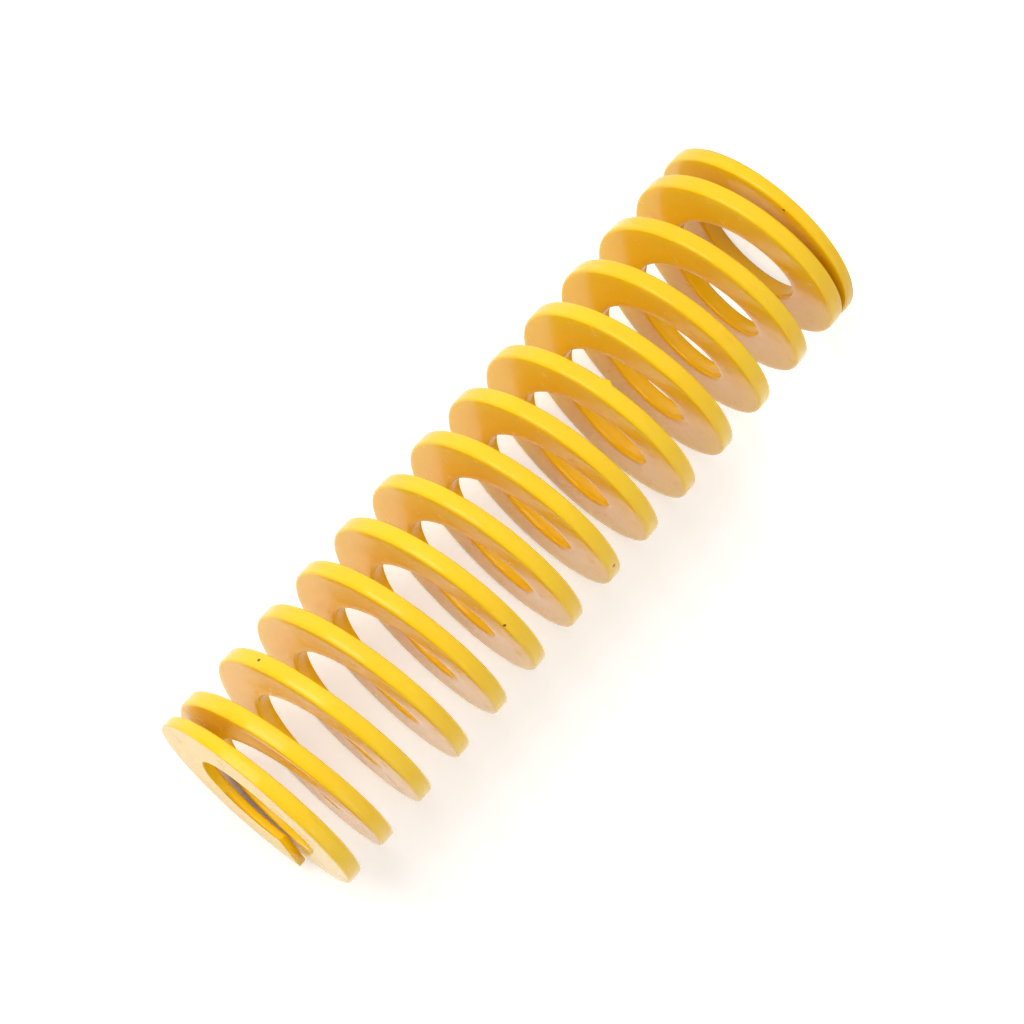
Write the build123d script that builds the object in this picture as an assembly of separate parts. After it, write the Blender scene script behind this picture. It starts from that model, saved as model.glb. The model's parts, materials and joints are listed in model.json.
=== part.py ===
from build123d import *
import math
import os

# A closed-and-ground die spring, wound right-handed from flat bar in one piece.
# It stands on its foot: the axis is +Z, the origin is the middle of the foot plane, lengths are millimetres.

# Driving dimensions
FREE_LENGTH = 100.0
OUTER_DIAMETER = 29.7
BORE_DIAMETER = 16.6
WIRE_THICKNESS = 2.3
WIRE_CHAMFER = 0.35
TIP_THICKNESS = 1.1
TOTAL_TURNS = 14.93
FOOT_TIP_ANGLE = 196.0

# The pitch in millimetres a turn: shut at both ends, open between, and a little wider towards the foot
CLOSED_PITCH = 1.6
CLOSED_TURNS = 0.2
OPENING_TURNS = 1.5
PITCH_DRIFT = 0.7

# How finely the wire's edges are drawn, and how far the winding stands proud of the finished walls
SPANS_PER_TURN = 2
POINTS_PER_SPAN = 8
ALLOWANCE = 0.1

OUTER_RADIUS = OUTER_DIAMETER / 2
BORE_RADIUS = BORE_DIAMETER / 2
FIRST_HEIGHT = TIP_THICKNESS - WIRE_THICKNESS / 2
LAST_HEIGHT = FREE_LENGTH - FIRST_HEIGHT
POINTS_PER_TURN = SPANS_PER_TURN * POINTS_PER_SPAN


def blend(share):
    """A smooth step from 0 to 1."""
    share = min(max(share, 0.0), 1.0)
    return share * share * (3 - 2 * share)


def opening(turn):
    """How far the pitch has opened: 0 in the closed end turns, 1 in the working turns."""
    from_foot = blend((turn - CLOSED_TURNS) / OPENING_TURNS)
    from_head = blend((TOTAL_TURNS - turn - CLOSED_TURNS) / OPENING_TURNS)
    return from_foot * from_head


def gained(rate, start, end):
    """What a rate adds up to over one short step, by Simpson's rule."""
    middle = (start + end) / 2
    return (rate(start) + 4 * rate(middle) + rate(end)) * (end - start) / 6


# The winding is measured in turns from the foot's tip, at evenly spaced steps and at the head's tip
turns = [step / POINTS_PER_TURN for step in range(int(TOTAL_TURNS * POINTS_PER_TURN) + 1)]
turns.append(TOTAL_TURNS)
steps = list(zip(turns, turns[1:]))
opened_turns = sum(gained(opening, start, end) for start, end in steps)
shut_rise = CLOSED_PITCH * TOTAL_TURNS
WORKING_PITCH = CLOSED_PITCH + (LAST_HEIGHT - FIRST_HEIGHT - shut_rise) / opened_turns


def pitch(turn):
    """Rise for each turn of the winding."""
    drift = PITCH_DRIFT * (0.5 - turn / TOTAL_TURNS)
    return CLOSED_PITCH + opening(turn) * (WORKING_PITCH - CLOSED_PITCH + drift)


heights = [FIRST_HEIGHT]
for start, end in steps:
    heights.append(heights[-1] + gained(pitch, start, end))


def wire_outline():
    """The bar's section with eased corners, as (radius, height from the wire's middle)."""
    half = WIRE_THICKNESS / 2
    wall = half - WIRE_CHAMFER - ALLOWANCE
    inner = BORE_RADIUS - ALLOWANCE
    outer = OUTER_RADIUS + ALLOWANCE
    return [
        (outer, -wall),
        (outer, wall),
        (OUTER_RADIUS - WIRE_CHAMFER, half),
        (BORE_RADIUS + WIRE_CHAMFER, half),
        (inner, wall),
        (inner, -wall),
        (BORE_RADIUS + WIRE_CHAMFER, -half),
        (OUTER_RADIUS - WIRE_CHAMFER, -half),
    ]


def winding_angle(step):
    return math.radians(FOOT_TIP_ANGLE) + 2 * math.pi * turns[step]


def on_helix(step, corner):
    radius, offset = corner
    angle = winding_angle(step)
    return Vector(radius * math.cos(angle), radius * math.sin(angle), heights[step] + offset)


def along_helix(step, corner):
    angle = winding_angle(step)
    one_turn = 2 * math.pi * corner[0]
    return Vector(-one_turn * math.sin(angle), one_turn * math.cos(angle), pitch(turns[step])).normalized()


def rail(corner, first, last):
    """One edge of the bar along one span of the winding."""
    points = [on_helix(step, corner) for step in range(first, last + 1)]
    return Edge.make_spline(points, tangents=[along_helix(first, corner), along_helix(last, corner)])


def bar_end(step):
    return Face(Wire.make_polygon([on_helix(step, corner) for corner in wire_outline()], close=True))


def wound_bar():
    """The whole winding before its walls are trued and its ends ground."""
    last_step = len(turns) - 1
    faces = [bar_end(0), bar_end(last_step)]
    for first in range(0, last_step, POINTS_PER_SPAN):
        last = min(first + POINTS_PER_SPAN, last_step)
        rails = [rail(corner, first, last) for corner in wire_outline()]
        for one, other in zip(rails, rails[1:] + rails[:1]):
            faces.append(Face.make_surface_from_curves(one, other))
    return Solid(Shell(faces))


def finished_envelope():
    """The tube that holds the finished spring: true outer and bore walls, and two flat ground ends."""
    tube = Cylinder(OUTER_RADIUS, FREE_LENGTH) - Cylinder(BORE_RADIUS, FREE_LENGTH)
    return tube.moved(Location((0, 0, FREE_LENGTH / 2)))


coil_spring = Compound(wound_bar().intersect(finished_envelope()))
os.makedirs("parts", exist_ok=True)
export_step(coil_spring, "parts/coil_spring.step")
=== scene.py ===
import json
import math

import bpy
from mathutils import Matrix, Vector


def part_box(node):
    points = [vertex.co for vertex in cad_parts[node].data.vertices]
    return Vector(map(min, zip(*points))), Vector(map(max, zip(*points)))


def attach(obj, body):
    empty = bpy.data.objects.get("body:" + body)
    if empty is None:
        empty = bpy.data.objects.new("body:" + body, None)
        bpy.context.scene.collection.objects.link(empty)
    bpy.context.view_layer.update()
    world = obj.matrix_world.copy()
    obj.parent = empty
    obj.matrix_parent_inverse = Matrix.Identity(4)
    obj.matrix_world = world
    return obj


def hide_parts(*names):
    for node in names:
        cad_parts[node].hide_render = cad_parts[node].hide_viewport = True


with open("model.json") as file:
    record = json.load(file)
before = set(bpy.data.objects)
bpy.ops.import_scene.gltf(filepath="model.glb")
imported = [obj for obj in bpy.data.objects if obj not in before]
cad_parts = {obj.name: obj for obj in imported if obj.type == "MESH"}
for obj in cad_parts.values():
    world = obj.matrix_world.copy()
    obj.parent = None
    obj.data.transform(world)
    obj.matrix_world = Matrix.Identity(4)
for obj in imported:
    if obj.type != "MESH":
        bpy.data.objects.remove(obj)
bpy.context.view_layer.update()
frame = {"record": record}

MM = 0.001

# The spring's own numbers, in millimetres and turns, as in the part's source
LOW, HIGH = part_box("coil_spring")
FREE_LENGTH = (HIGH.z - LOW.z) / MM
OUTER_RADIUS = max(HIGH.x - LOW.x, HIGH.y - LOW.y) / 2 / MM
BORE_RADIUS = next(m for m in frame["record"]["mounts"] if m["name"] == "guide_rod_bore")["dims"]["r_mm"]
WIRE_THICKNESS = 2.3
TIP_THICKNESS = 1.1
TOTAL_TURNS = 14.93
FOOT_TIP_ANGLE = 196.0
CLOSED_PITCH = 1.6
CLOSED_TURNS = 0.2
OPENING_TURNS = 1.5
PITCH_DRIFT = 0.7

# How the bar's edges are rounded and how finely its mesh is drawn
CORNER_RADIUS = 0.4
CORNER_POINTS = 5
FACE_POINTS = 5
WALL_POINTS = 2
STEPS_PER_TURN = 160

# The paint: where it ran to a small bead on the bar's lower outer edge, and how far that hangs out
BEAD_TURN = 5.345
BEAD_SIZE = 0.9
BEAD_DROP = 0.5

# Dark specks in the paint, as turns from the foot's tip, radius and height over the bar's middle, and size
SPECKS = [
    (9.23, 14.65, 0.9, 0.27),
    (12.46, 14.85, 0.0, 0.25),
    (0.32, 14.3, 1.15, 0.25),
    (7.137, 14.85, 0.0, 0.3),
]

# Yellow enamel: its main colour, the orange of thinner streaks, a paler tone for its clouds that is also the
# painted highlight on the edges, and the dark of a speck
PAINT = (1.0, 0.61, 0.006, 1)
PAINT_THIN = (0.98, 0.52, 0.005, 1)
PALE_TONE_AND_EDGE_HIGHLIGHT = (1.0, 0.67, 0.012, 1)
SPECK_COLOUR = (0.09, 0.045, 0.015, 1)
CLOUD_SHARE = 0.55
STREAK_SHARE = 0.35
# How strongly the painted highlight shows on the rounded edges
EDGE_HIGHLIGHT_SHARE = 0.5
SPECK_CORE = 0.7

# The enamel's textures, in features to the metre
CLOUD_SCALE = 90.0
STREAK_SCALE = (260.0, 260.0, 1400.0)
SCUFF_SCALE = (500.0, 500.0, 2200.0)
PEEL_SCALE = 420.0
RUN_SCALE = 120.0

# The enamel's relief, and its gloss where it is clean and where it is scuffed
PEEL_RELIEF = 0.35
SCUFF_RELIEF = 0.05
RELIEF_STRENGTH = 0.15
RELIEF_DEPTH = 0.35 * MM
ROUGH_CLEAN = 0.14
ROUGH_SCUFFED = 0.32
PAINT_IOR = 1.45
PAINT_SPECULAR = 0.4

# The camera: near the head, looking down the coil, rolled on its side
CAMERA_AZIMUTH = 42.4
CAMERA_ELEVATION = 15.0
CAMERA_ROLL = 138.6
CAMERA_DISTANCE = 400 * MM
CAMERA_AIM_RIGHT = -0.48 * MM
CAMERA_AIM_DOWN = 0.21 * MM
CAMERA_LENS = 111.8

# The lights: how strong each is, where it stands for one step towards the camera, and its distance and size
WORLD_LIGHT = 0.45
LAMP_SPREAD = 4
KEY_LIGHT = 1.9
KEY_LEFT = 0.5
KEY_UP = 0.45
KEY_DISTANCE = 0.7
KEY_SIZE = 0.55
FILL_LIGHT = 0.6
FILL_TOWARDS = 0.35
FILL_RIGHT = 0.75
FILL_DOWN = 0.55
FILL_DISTANCE = 0.8
FILL_SIZE = 0.6

# The stage: how far the paper is lifted to white for the camera, more so near the floor, and its size
FLOOR_LIFT = 0.7
BACKDROP_LIFT = 0.4
BACKDROP_FOOT_LIFT = 0.4
BACKDROP_FADE = 0.03
STAGE_REACH = 3.0
SHEET_GAP = 0.15

# White paper, in its darker and lighter fibres
PAPER_DARK = (0.80, 0.79, 0.775, 1)
PAPER_LIGHT = (0.82, 0.81, 0.80, 1)
PAPER_GRAIN_SCALE = 900.0


def blend(share):
    share = min(max(share, 0.0), 1.0)
    return share * share * (3 - 2 * share)


def opening(turn):
    from_foot = blend((turn - CLOSED_TURNS) / OPENING_TURNS)
    from_head = blend((TOTAL_TURNS - turn - CLOSED_TURNS) / OPENING_TURNS)
    return from_foot * from_head


def running_heights(count):
    """The height of the bar's middle at even steps from the foot's tip to the head's tip."""
    step = TOTAL_TURNS / count
    first = TIP_THICKNESS - WIRE_THICKNESS / 2
    middles = [(i + 0.5) * step for i in range(count)]
    opened = sum(opening(turn) for turn in middles) * step
    rise = FREE_LENGTH - 2 * first
    working = CLOSED_PITCH + (rise - CLOSED_PITCH * TOTAL_TURNS) / opened
    heights = [first]
    for turn in middles:
        drift = PITCH_DRIFT * (0.5 - turn / TOTAL_TURNS)
        heights.append(heights[-1] + step * (CLOSED_PITCH + opening(turn) * (working - CLOSED_PITCH + drift)))
    return heights


HEIGHTS = running_heights(round(TOTAL_TURNS * STEPS_PER_TURN))


def on_corner(radius, height, degrees):
    """A point on a rounded corner, from the corner's middle and the direction in which it lies."""
    angle = math.radians(degrees)
    return radius + CORNER_RADIUS * math.cos(angle), height + CORNER_RADIUS * math.sin(angle)


def bar_section():
    """Rounded corners of the flat bar, anticlockwise, as (radius, height from the middle)."""
    half = WIRE_THICKNESS / 2
    corners = [
        (OUTER_RADIUS - CORNER_RADIUS, half - CORNER_RADIUS, 0),
        (BORE_RADIUS + CORNER_RADIUS, half - CORNER_RADIUS, 90),
        (BORE_RADIUS + CORNER_RADIUS, -half + CORNER_RADIUS, 180),
        (OUTER_RADIUS - CORNER_RADIUS, -half + CORNER_RADIUS, 270),
    ]
    points = []
    for index, (radius, height, start) in enumerate(corners):
        for k in range(CORNER_POINTS):
            points.append(on_corner(radius, height, start + 90 * k / (CORNER_POINTS - 1)))
        extra = FACE_POINTS if index % 2 == 0 else WALL_POINTS
        here = points[-1]
        there = on_corner(*corners[(index + 1) % len(corners)])
        for k in range(1, extra + 1):
            share = k / (extra + 1)
            points.append((here[0] + (there[0] - here[0]) * share, here[1] + (there[1] - here[1]) * share))
    return points


def bead(turn, radius, offset):
    """How far the bead of paint hangs below one point of the bar."""
    along = (turn - BEAD_TURN) * 2 * math.pi * radius
    across = offset + WIRE_THICKNESS / 2
    inwards = OUTER_RADIUS - radius
    away = math.sqrt(along * along + across * across + inwards * inwards) / BEAD_SIZE
    return BEAD_DROP * blend(1 - away)


def coil_mesh():
    """The whole bar as rings of its section, cut flat at both ground ends."""
    count = len(HEIGHTS) - 1
    section = bar_section()
    width = len(section)
    vertices = []
    for i, middle in enumerate(HEIGHTS):
        angle = math.radians(FOOT_TIP_ANGLE) + 2 * math.pi * TOTAL_TURNS * i / count
        for radius, offset in section:
            drop = bead(TOTAL_TURNS * i / count, radius, offset)
            height = min(max(middle + offset - drop, 0.0), FREE_LENGTH)
            vertices.append((radius * math.cos(angle) * MM, radius * math.sin(angle) * MM, height * MM))
    faces = [list(range(width))[::-1], [count * width + k for k in range(width)]]
    for i in range(count):
        for k in range(width):
            nxt = (k + 1) % width
            faces.append([i * width + k, i * width + nxt, (i + 1) * width + nxt, (i + 1) * width + k])
    mesh = bpy.data.meshes.new("coil")
    mesh.from_pydata(vertices, [], faces)
    mesh.validate()
    mesh.update()
    return mesh


class Graph:
    """Short calls for building a material's node tree."""

    def __init__(self, material):
        material.use_nodes = True
        self.tree = material.node_tree
        self.tree.nodes.clear()

    def node(self, kind, values=None, **settings):
        made = self.tree.nodes.new(kind)
        for name, value in settings.items():
            setattr(made, name, value)
        for name, value in (values or {}).items():
            if isinstance(value, bpy.types.NodeSocket):
                self.tree.links.new(value, made.inputs[name])
            else:
                made.inputs[name].default_value = value
        return made

    def math(self, operation, first, second=0.0):
        made = self.node("ShaderNodeMath", {0: first, 1: second}, operation=operation)
        return made.outputs[0]

    def ramp(self, value, low, high, to_low=0.0, to_high=1.0):
        made = self.node(
            "ShaderNodeMapRange",
            {"Value": value, "From Min": low, "From Max": high, "To Min": to_low, "To Max": to_high},
            interpolation_type="SMOOTHSTEP",
        )
        return made.outputs["Result"]

    def mix(self, share, first, second):
        made = self.node("ShaderNodeMix", data_type="RGBA")
        for socket, value in zip((0, 6, 7), (share, first, second)):
            if isinstance(value, bpy.types.NodeSocket):
                self.tree.links.new(value, made.inputs[socket])
            else:
                made.inputs[socket].default_value = value
        return made.outputs[2]

    def noise(self, where, scale, detail=2.0, roughness=0.5):
        made = self.node(
            "ShaderNodeTexNoise",
            {"Vector": where, "Scale": scale, "Detail": detail, "Roughness": roughness},
        )
        return made.outputs["Fac"]


def coil_place(turn, radius, offset):
    """A place on the bar in metres, from its turn, radius and height over the bar's middle."""
    along = turn / TOTAL_TURNS * (len(HEIGHTS) - 1)
    index = min(int(along), len(HEIGHTS) - 2)
    middle = HEIGHTS[index] + (HEIGHTS[index + 1] - HEIGHTS[index]) * (along - index)
    angle = math.radians(FOOT_TIP_ANGLE) + 2 * math.pi * turn
    return Vector((radius * math.cos(angle), radius * math.sin(angle), middle + offset)) * MM


def paint():
    """Glossy yellow enamel, a little cloudy and streaked, with a painted highlight on its edges, with specks
    and fine scuffs.
    """
    material = bpy.data.materials.new("yellow_enamel")
    graph = Graph(material)
    place = graph.node("ShaderNodeTexCoord").outputs["Object"]

    cloudy = graph.noise(place, CLOUD_SCALE, 3.0)
    streaks = graph.node("ShaderNodeMapping", {"Vector": place, "Scale": STREAK_SCALE}).outputs[0]
    drawn = graph.noise(streaks, 1.0, 4.0, 0.6)
    colour = graph.mix(graph.ramp(cloudy, 0.4, 0.66, 0.0, CLOUD_SHARE), PAINT, PALE_TONE_AND_EDGE_HIGHLIGHT)
    colour = graph.mix(graph.ramp(drawn, 0.52, 0.72, 0.0, STREAK_SHARE), colour, PAINT_THIN)

    # Painted highlight: the rounded edges are painted paler, standing in for the light they catch
    highlit_edge = graph.node("ShaderNodeNewGeometry").outputs["Pointiness"]
    colour = graph.mix(graph.ramp(highlit_edge, 0.52, 0.6, 0.0, EDGE_HIGHLIGHT_SHARE), colour, PALE_TONE_AND_EDGE_HIGHLIGHT)

    speckled = 0.0
    for turn, radius, offset, size in SPECKS:
        centre = coil_place(turn, radius, offset)
        away = graph.node("ShaderNodeVectorMath", {0: place, 1: centre}, operation="DISTANCE")
        spot = graph.ramp(away.outputs["Value"], size * SPECK_CORE * MM, size * MM, 1.0, 0.0)
        speckled = graph.math("MAXIMUM", speckled, spot)
    colour = graph.mix(speckled, colour, SPECK_COLOUR)

    scuffs = graph.node("ShaderNodeMapping", {"Vector": place, "Scale": SCUFF_SCALE}).outputs[0]
    scuffed = graph.noise(scuffs, 1.0, 5.0, 0.65)
    rough = graph.ramp(scuffed, 0.45, 0.75, ROUGH_CLEAN, ROUGH_SCUFFED)

    peel = graph.noise(place, PEEL_SCALE, 2.0)
    runs = graph.noise(place, RUN_SCALE, 1.0)
    relief = graph.math("ADD", graph.math("MULTIPLY", peel, PEEL_RELIEF), runs)
    relief = graph.math("ADD", relief, graph.math("MULTIPLY", scuffed, SCUFF_RELIEF))
    bump = graph.node(
        "ShaderNodeBump",
        {"Strength": RELIEF_STRENGTH, "Distance": RELIEF_DEPTH, "Height": relief},
    )

    shader = graph.node(
        "ShaderNodeBsdfPrincipled",
        {
            "Base Color": colour,
            "Roughness": rough,
            "IOR": PAINT_IOR,
            "Specular IOR Level": PAINT_SPECULAR,
            "Normal": bump.outputs[0],
        },
    )
    graph.node("ShaderNodeOutputMaterial", {"Surface": shader.outputs[0]})
    return material


def paper(name, lift, foot_lift, one_sided):
    """White paper that reads as pure white to the camera, apart from the soft shadow that falls on it."""
    material = bpy.data.materials.new(name)
    graph = Graph(material)
    path = graph.node("ShaderNodeLightPath")
    seen = graph.math("MAXIMUM", path.outputs["Is Camera Ray"], path.outputs["Is Glossy Ray"])
    seen = graph.math("MAXIMUM", seen, path.outputs["Is Transmission Ray"])
    place = graph.node("ShaderNodeTexCoord").outputs["Object"]
    grain = graph.noise(place, PAPER_GRAIN_SCALE, 3.0)
    height = graph.node("ShaderNodeSeparateXYZ", {0: place}).outputs["Z"]
    strength = graph.ramp(height, 0.0, BACKDROP_FADE, lift + foot_lift, lift)
    tone = graph.mix(graph.ramp(grain, 0.3, 0.7), PAPER_DARK, PAPER_LIGHT)
    diffuse = graph.node("ShaderNodeBsdfDiffuse", {"Color": tone}).outputs[0]
    lifted = graph.node("ShaderNodeEmission", {"Color": (1, 1, 1, 1), "Strength": strength}).outputs[0]
    glow = graph.node("ShaderNodeAddShader", {0: diffuse, 1: lifted}).outputs[0]
    surface = graph.node("ShaderNodeMixShader", {0: seen, 1: diffuse, 2: glow}).outputs[0]
    if one_sided:
        behind = graph.node("ShaderNodeNewGeometry").outputs["Backfacing"]
        clear = graph.node("ShaderNodeBsdfTransparent").outputs[0]
        surface = graph.node("ShaderNodeMixShader", {0: behind, 1: surface, 2: clear}).outputs[0]
    graph.node("ShaderNodeOutputMaterial", {"Surface": surface})
    return material


def link(name, data):
    made = bpy.data.objects.new(name, data)
    bpy.context.scene.collection.objects.link(made)
    return made


coil = link("painted_coil", coil_mesh())
coil.data.materials.append(paint())
for polygon in coil.data.polygons:
    polygon.use_smooth = True
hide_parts("coil_spring")
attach(coil, "root")


def camera_axes():
    azimuth = math.radians(CAMERA_AZIMUTH)
    elevation = math.radians(CAMERA_ELEVATION)
    towards = Vector((
        math.sin(azimuth) * math.cos(elevation),
        -math.cos(azimuth) * math.cos(elevation),
        math.sin(elevation),
    ))
    level = (-towards).cross(Vector((0, 0, 1))).normalized()
    plumb = (-towards).cross(level)
    roll = math.radians(CAMERA_ROLL)
    right = level * math.cos(roll) + plumb * math.sin(roll)
    down = plumb * math.cos(roll) - level * math.sin(roll)
    return right, down, towards


MIDDLE = Vector((0, 0, FREE_LENGTH / 2 * MM))
RIGHT, DOWN, TOWARDS = camera_axes()


def add_camera():
    data = bpy.data.cameras.new("camera")
    data.sensor_width = 36
    data.lens = CAMERA_LENS
    data.clip_start = 0.01
    data.clip_end = 10
    camera = link("camera", data)
    aim = MIDDLE + RIGHT * CAMERA_AIM_RIGHT + DOWN * CAMERA_AIM_DOWN
    axes = Matrix((RIGHT, -DOWN, TOWARDS)).transposed().to_4x4()
    camera.matrix_world = Matrix.Translation(aim + TOWARDS * CAMERA_DISTANCE) @ axes
    bpy.context.scene.camera = camera


def add_softbox(name, towards, distance, size, level):
    """A square lamp aimed at the object's middle, as bright there for its level at any distance."""
    data = bpy.data.lights.new(name, "AREA")
    data.shape = "SQUARE"
    data.size = size
    towards = towards.normalized()
    data.energy = level * LAMP_SPREAD * distance * distance
    lamp = link(name, data)
    lamp.location = MIDDLE + towards * distance
    lamp.rotation_euler = towards.to_track_quat("Z", "Y").to_euler()


def add_sheet(name, corners, material):
    mesh = bpy.data.meshes.new(name)
    mesh.from_pydata(corners, [], [[0, 1, 2, 3]])
    sheet = link(name, mesh)
    mesh.materials.append(material)


def add_stage():
    """A paper floor under the foot, and a paper sheet that the coil leans against, away from the camera."""
    reach = STAGE_REACH
    ground = [(-reach, -reach, 0), (reach, -reach, 0), (reach, reach, 0), (-reach, reach, 0)]
    add_sheet("floor", ground, paper("floor_paper", FLOOR_LIFT, 0.0, False))
    facing = Vector((TOWARDS.x, TOWARDS.y, 0)).normalized()
    side = Vector((0, 0, 1)).cross(facing)
    base = -facing * (OUTER_RADIUS + SHEET_GAP) * MM
    top = Vector((0, 0, reach))
    left = base - side * reach
    right = base + side * reach
    white = paper("backdrop_paper", BACKDROP_LIFT, BACKDROP_FOOT_LIFT, True)
    add_sheet("backdrop", [left, right, right + top, left + top], white)


def add_world():
    world = bpy.data.worlds.new("studio")
    bpy.context.scene.world = world
    world.use_nodes = True
    tree = world.node_tree
    background = tree.nodes["Background"]
    background.inputs["Color"].default_value = (1, 1, 1, 1)
    background.inputs["Strength"].default_value = WORLD_LIGHT
    path = tree.nodes.new("ShaderNodeLightPath")
    white = tree.nodes.new("ShaderNodeBackground")
    white.inputs["Strength"].default_value = 1.0
    mixed = tree.nodes.new("ShaderNodeMixShader")
    tree.links.new(path.outputs["Is Camera Ray"], mixed.inputs[0])
    tree.links.new(background.outputs[0], mixed.inputs[1])
    tree.links.new(white.outputs[0], mixed.inputs[2])
    tree.links.new(mixed.outputs[0], tree.nodes["World Output"].inputs["Surface"])


add_camera()
add_stage()
add_world()
key_side = TOWARDS - RIGHT * KEY_LEFT - DOWN * KEY_UP
fill_side = TOWARDS * FILL_TOWARDS + RIGHT * FILL_RIGHT + DOWN * FILL_DOWN
add_softbox("key_softbox", key_side, KEY_DISTANCE, KEY_SIZE, KEY_LIGHT)
add_softbox("fill_softbox", fill_side, FILL_DISTANCE, FILL_SIZE, FILL_LIGHT)

bpy.context.scene.view_settings.view_transform = "Standard"
